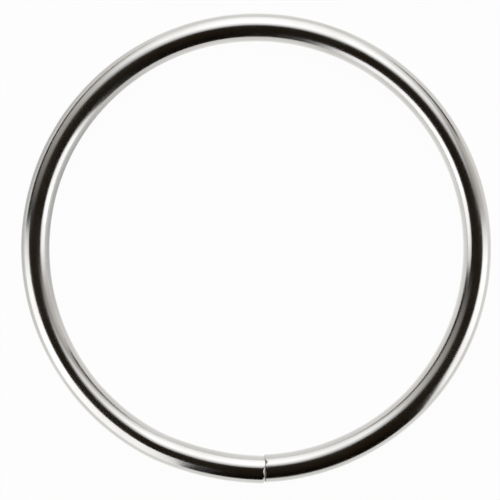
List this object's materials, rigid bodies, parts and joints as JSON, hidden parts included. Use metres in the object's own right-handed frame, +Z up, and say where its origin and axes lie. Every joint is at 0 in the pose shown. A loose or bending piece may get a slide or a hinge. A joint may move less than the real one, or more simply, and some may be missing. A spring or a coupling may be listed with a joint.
{
  "type": "split ring",
  "caption": "Round ring of bright-plated spring wire, a single turn whose cut ends butt together, for joining straps, cords and hooks.",
  "frame": {"origin": "centre of the ring, on the plane that it lies on", "axes": "+Z up through the eye of the ring; -Y towards the joint between the wire's two ends"},
  "size_m": [0.0576, 0.0577, 0.0034],
  "materials": {
    "nickel_plate": "polished"
  },
  "bodies": {
    "root": {"ring": "nickel_plate"}
  },
  "joints": []
}
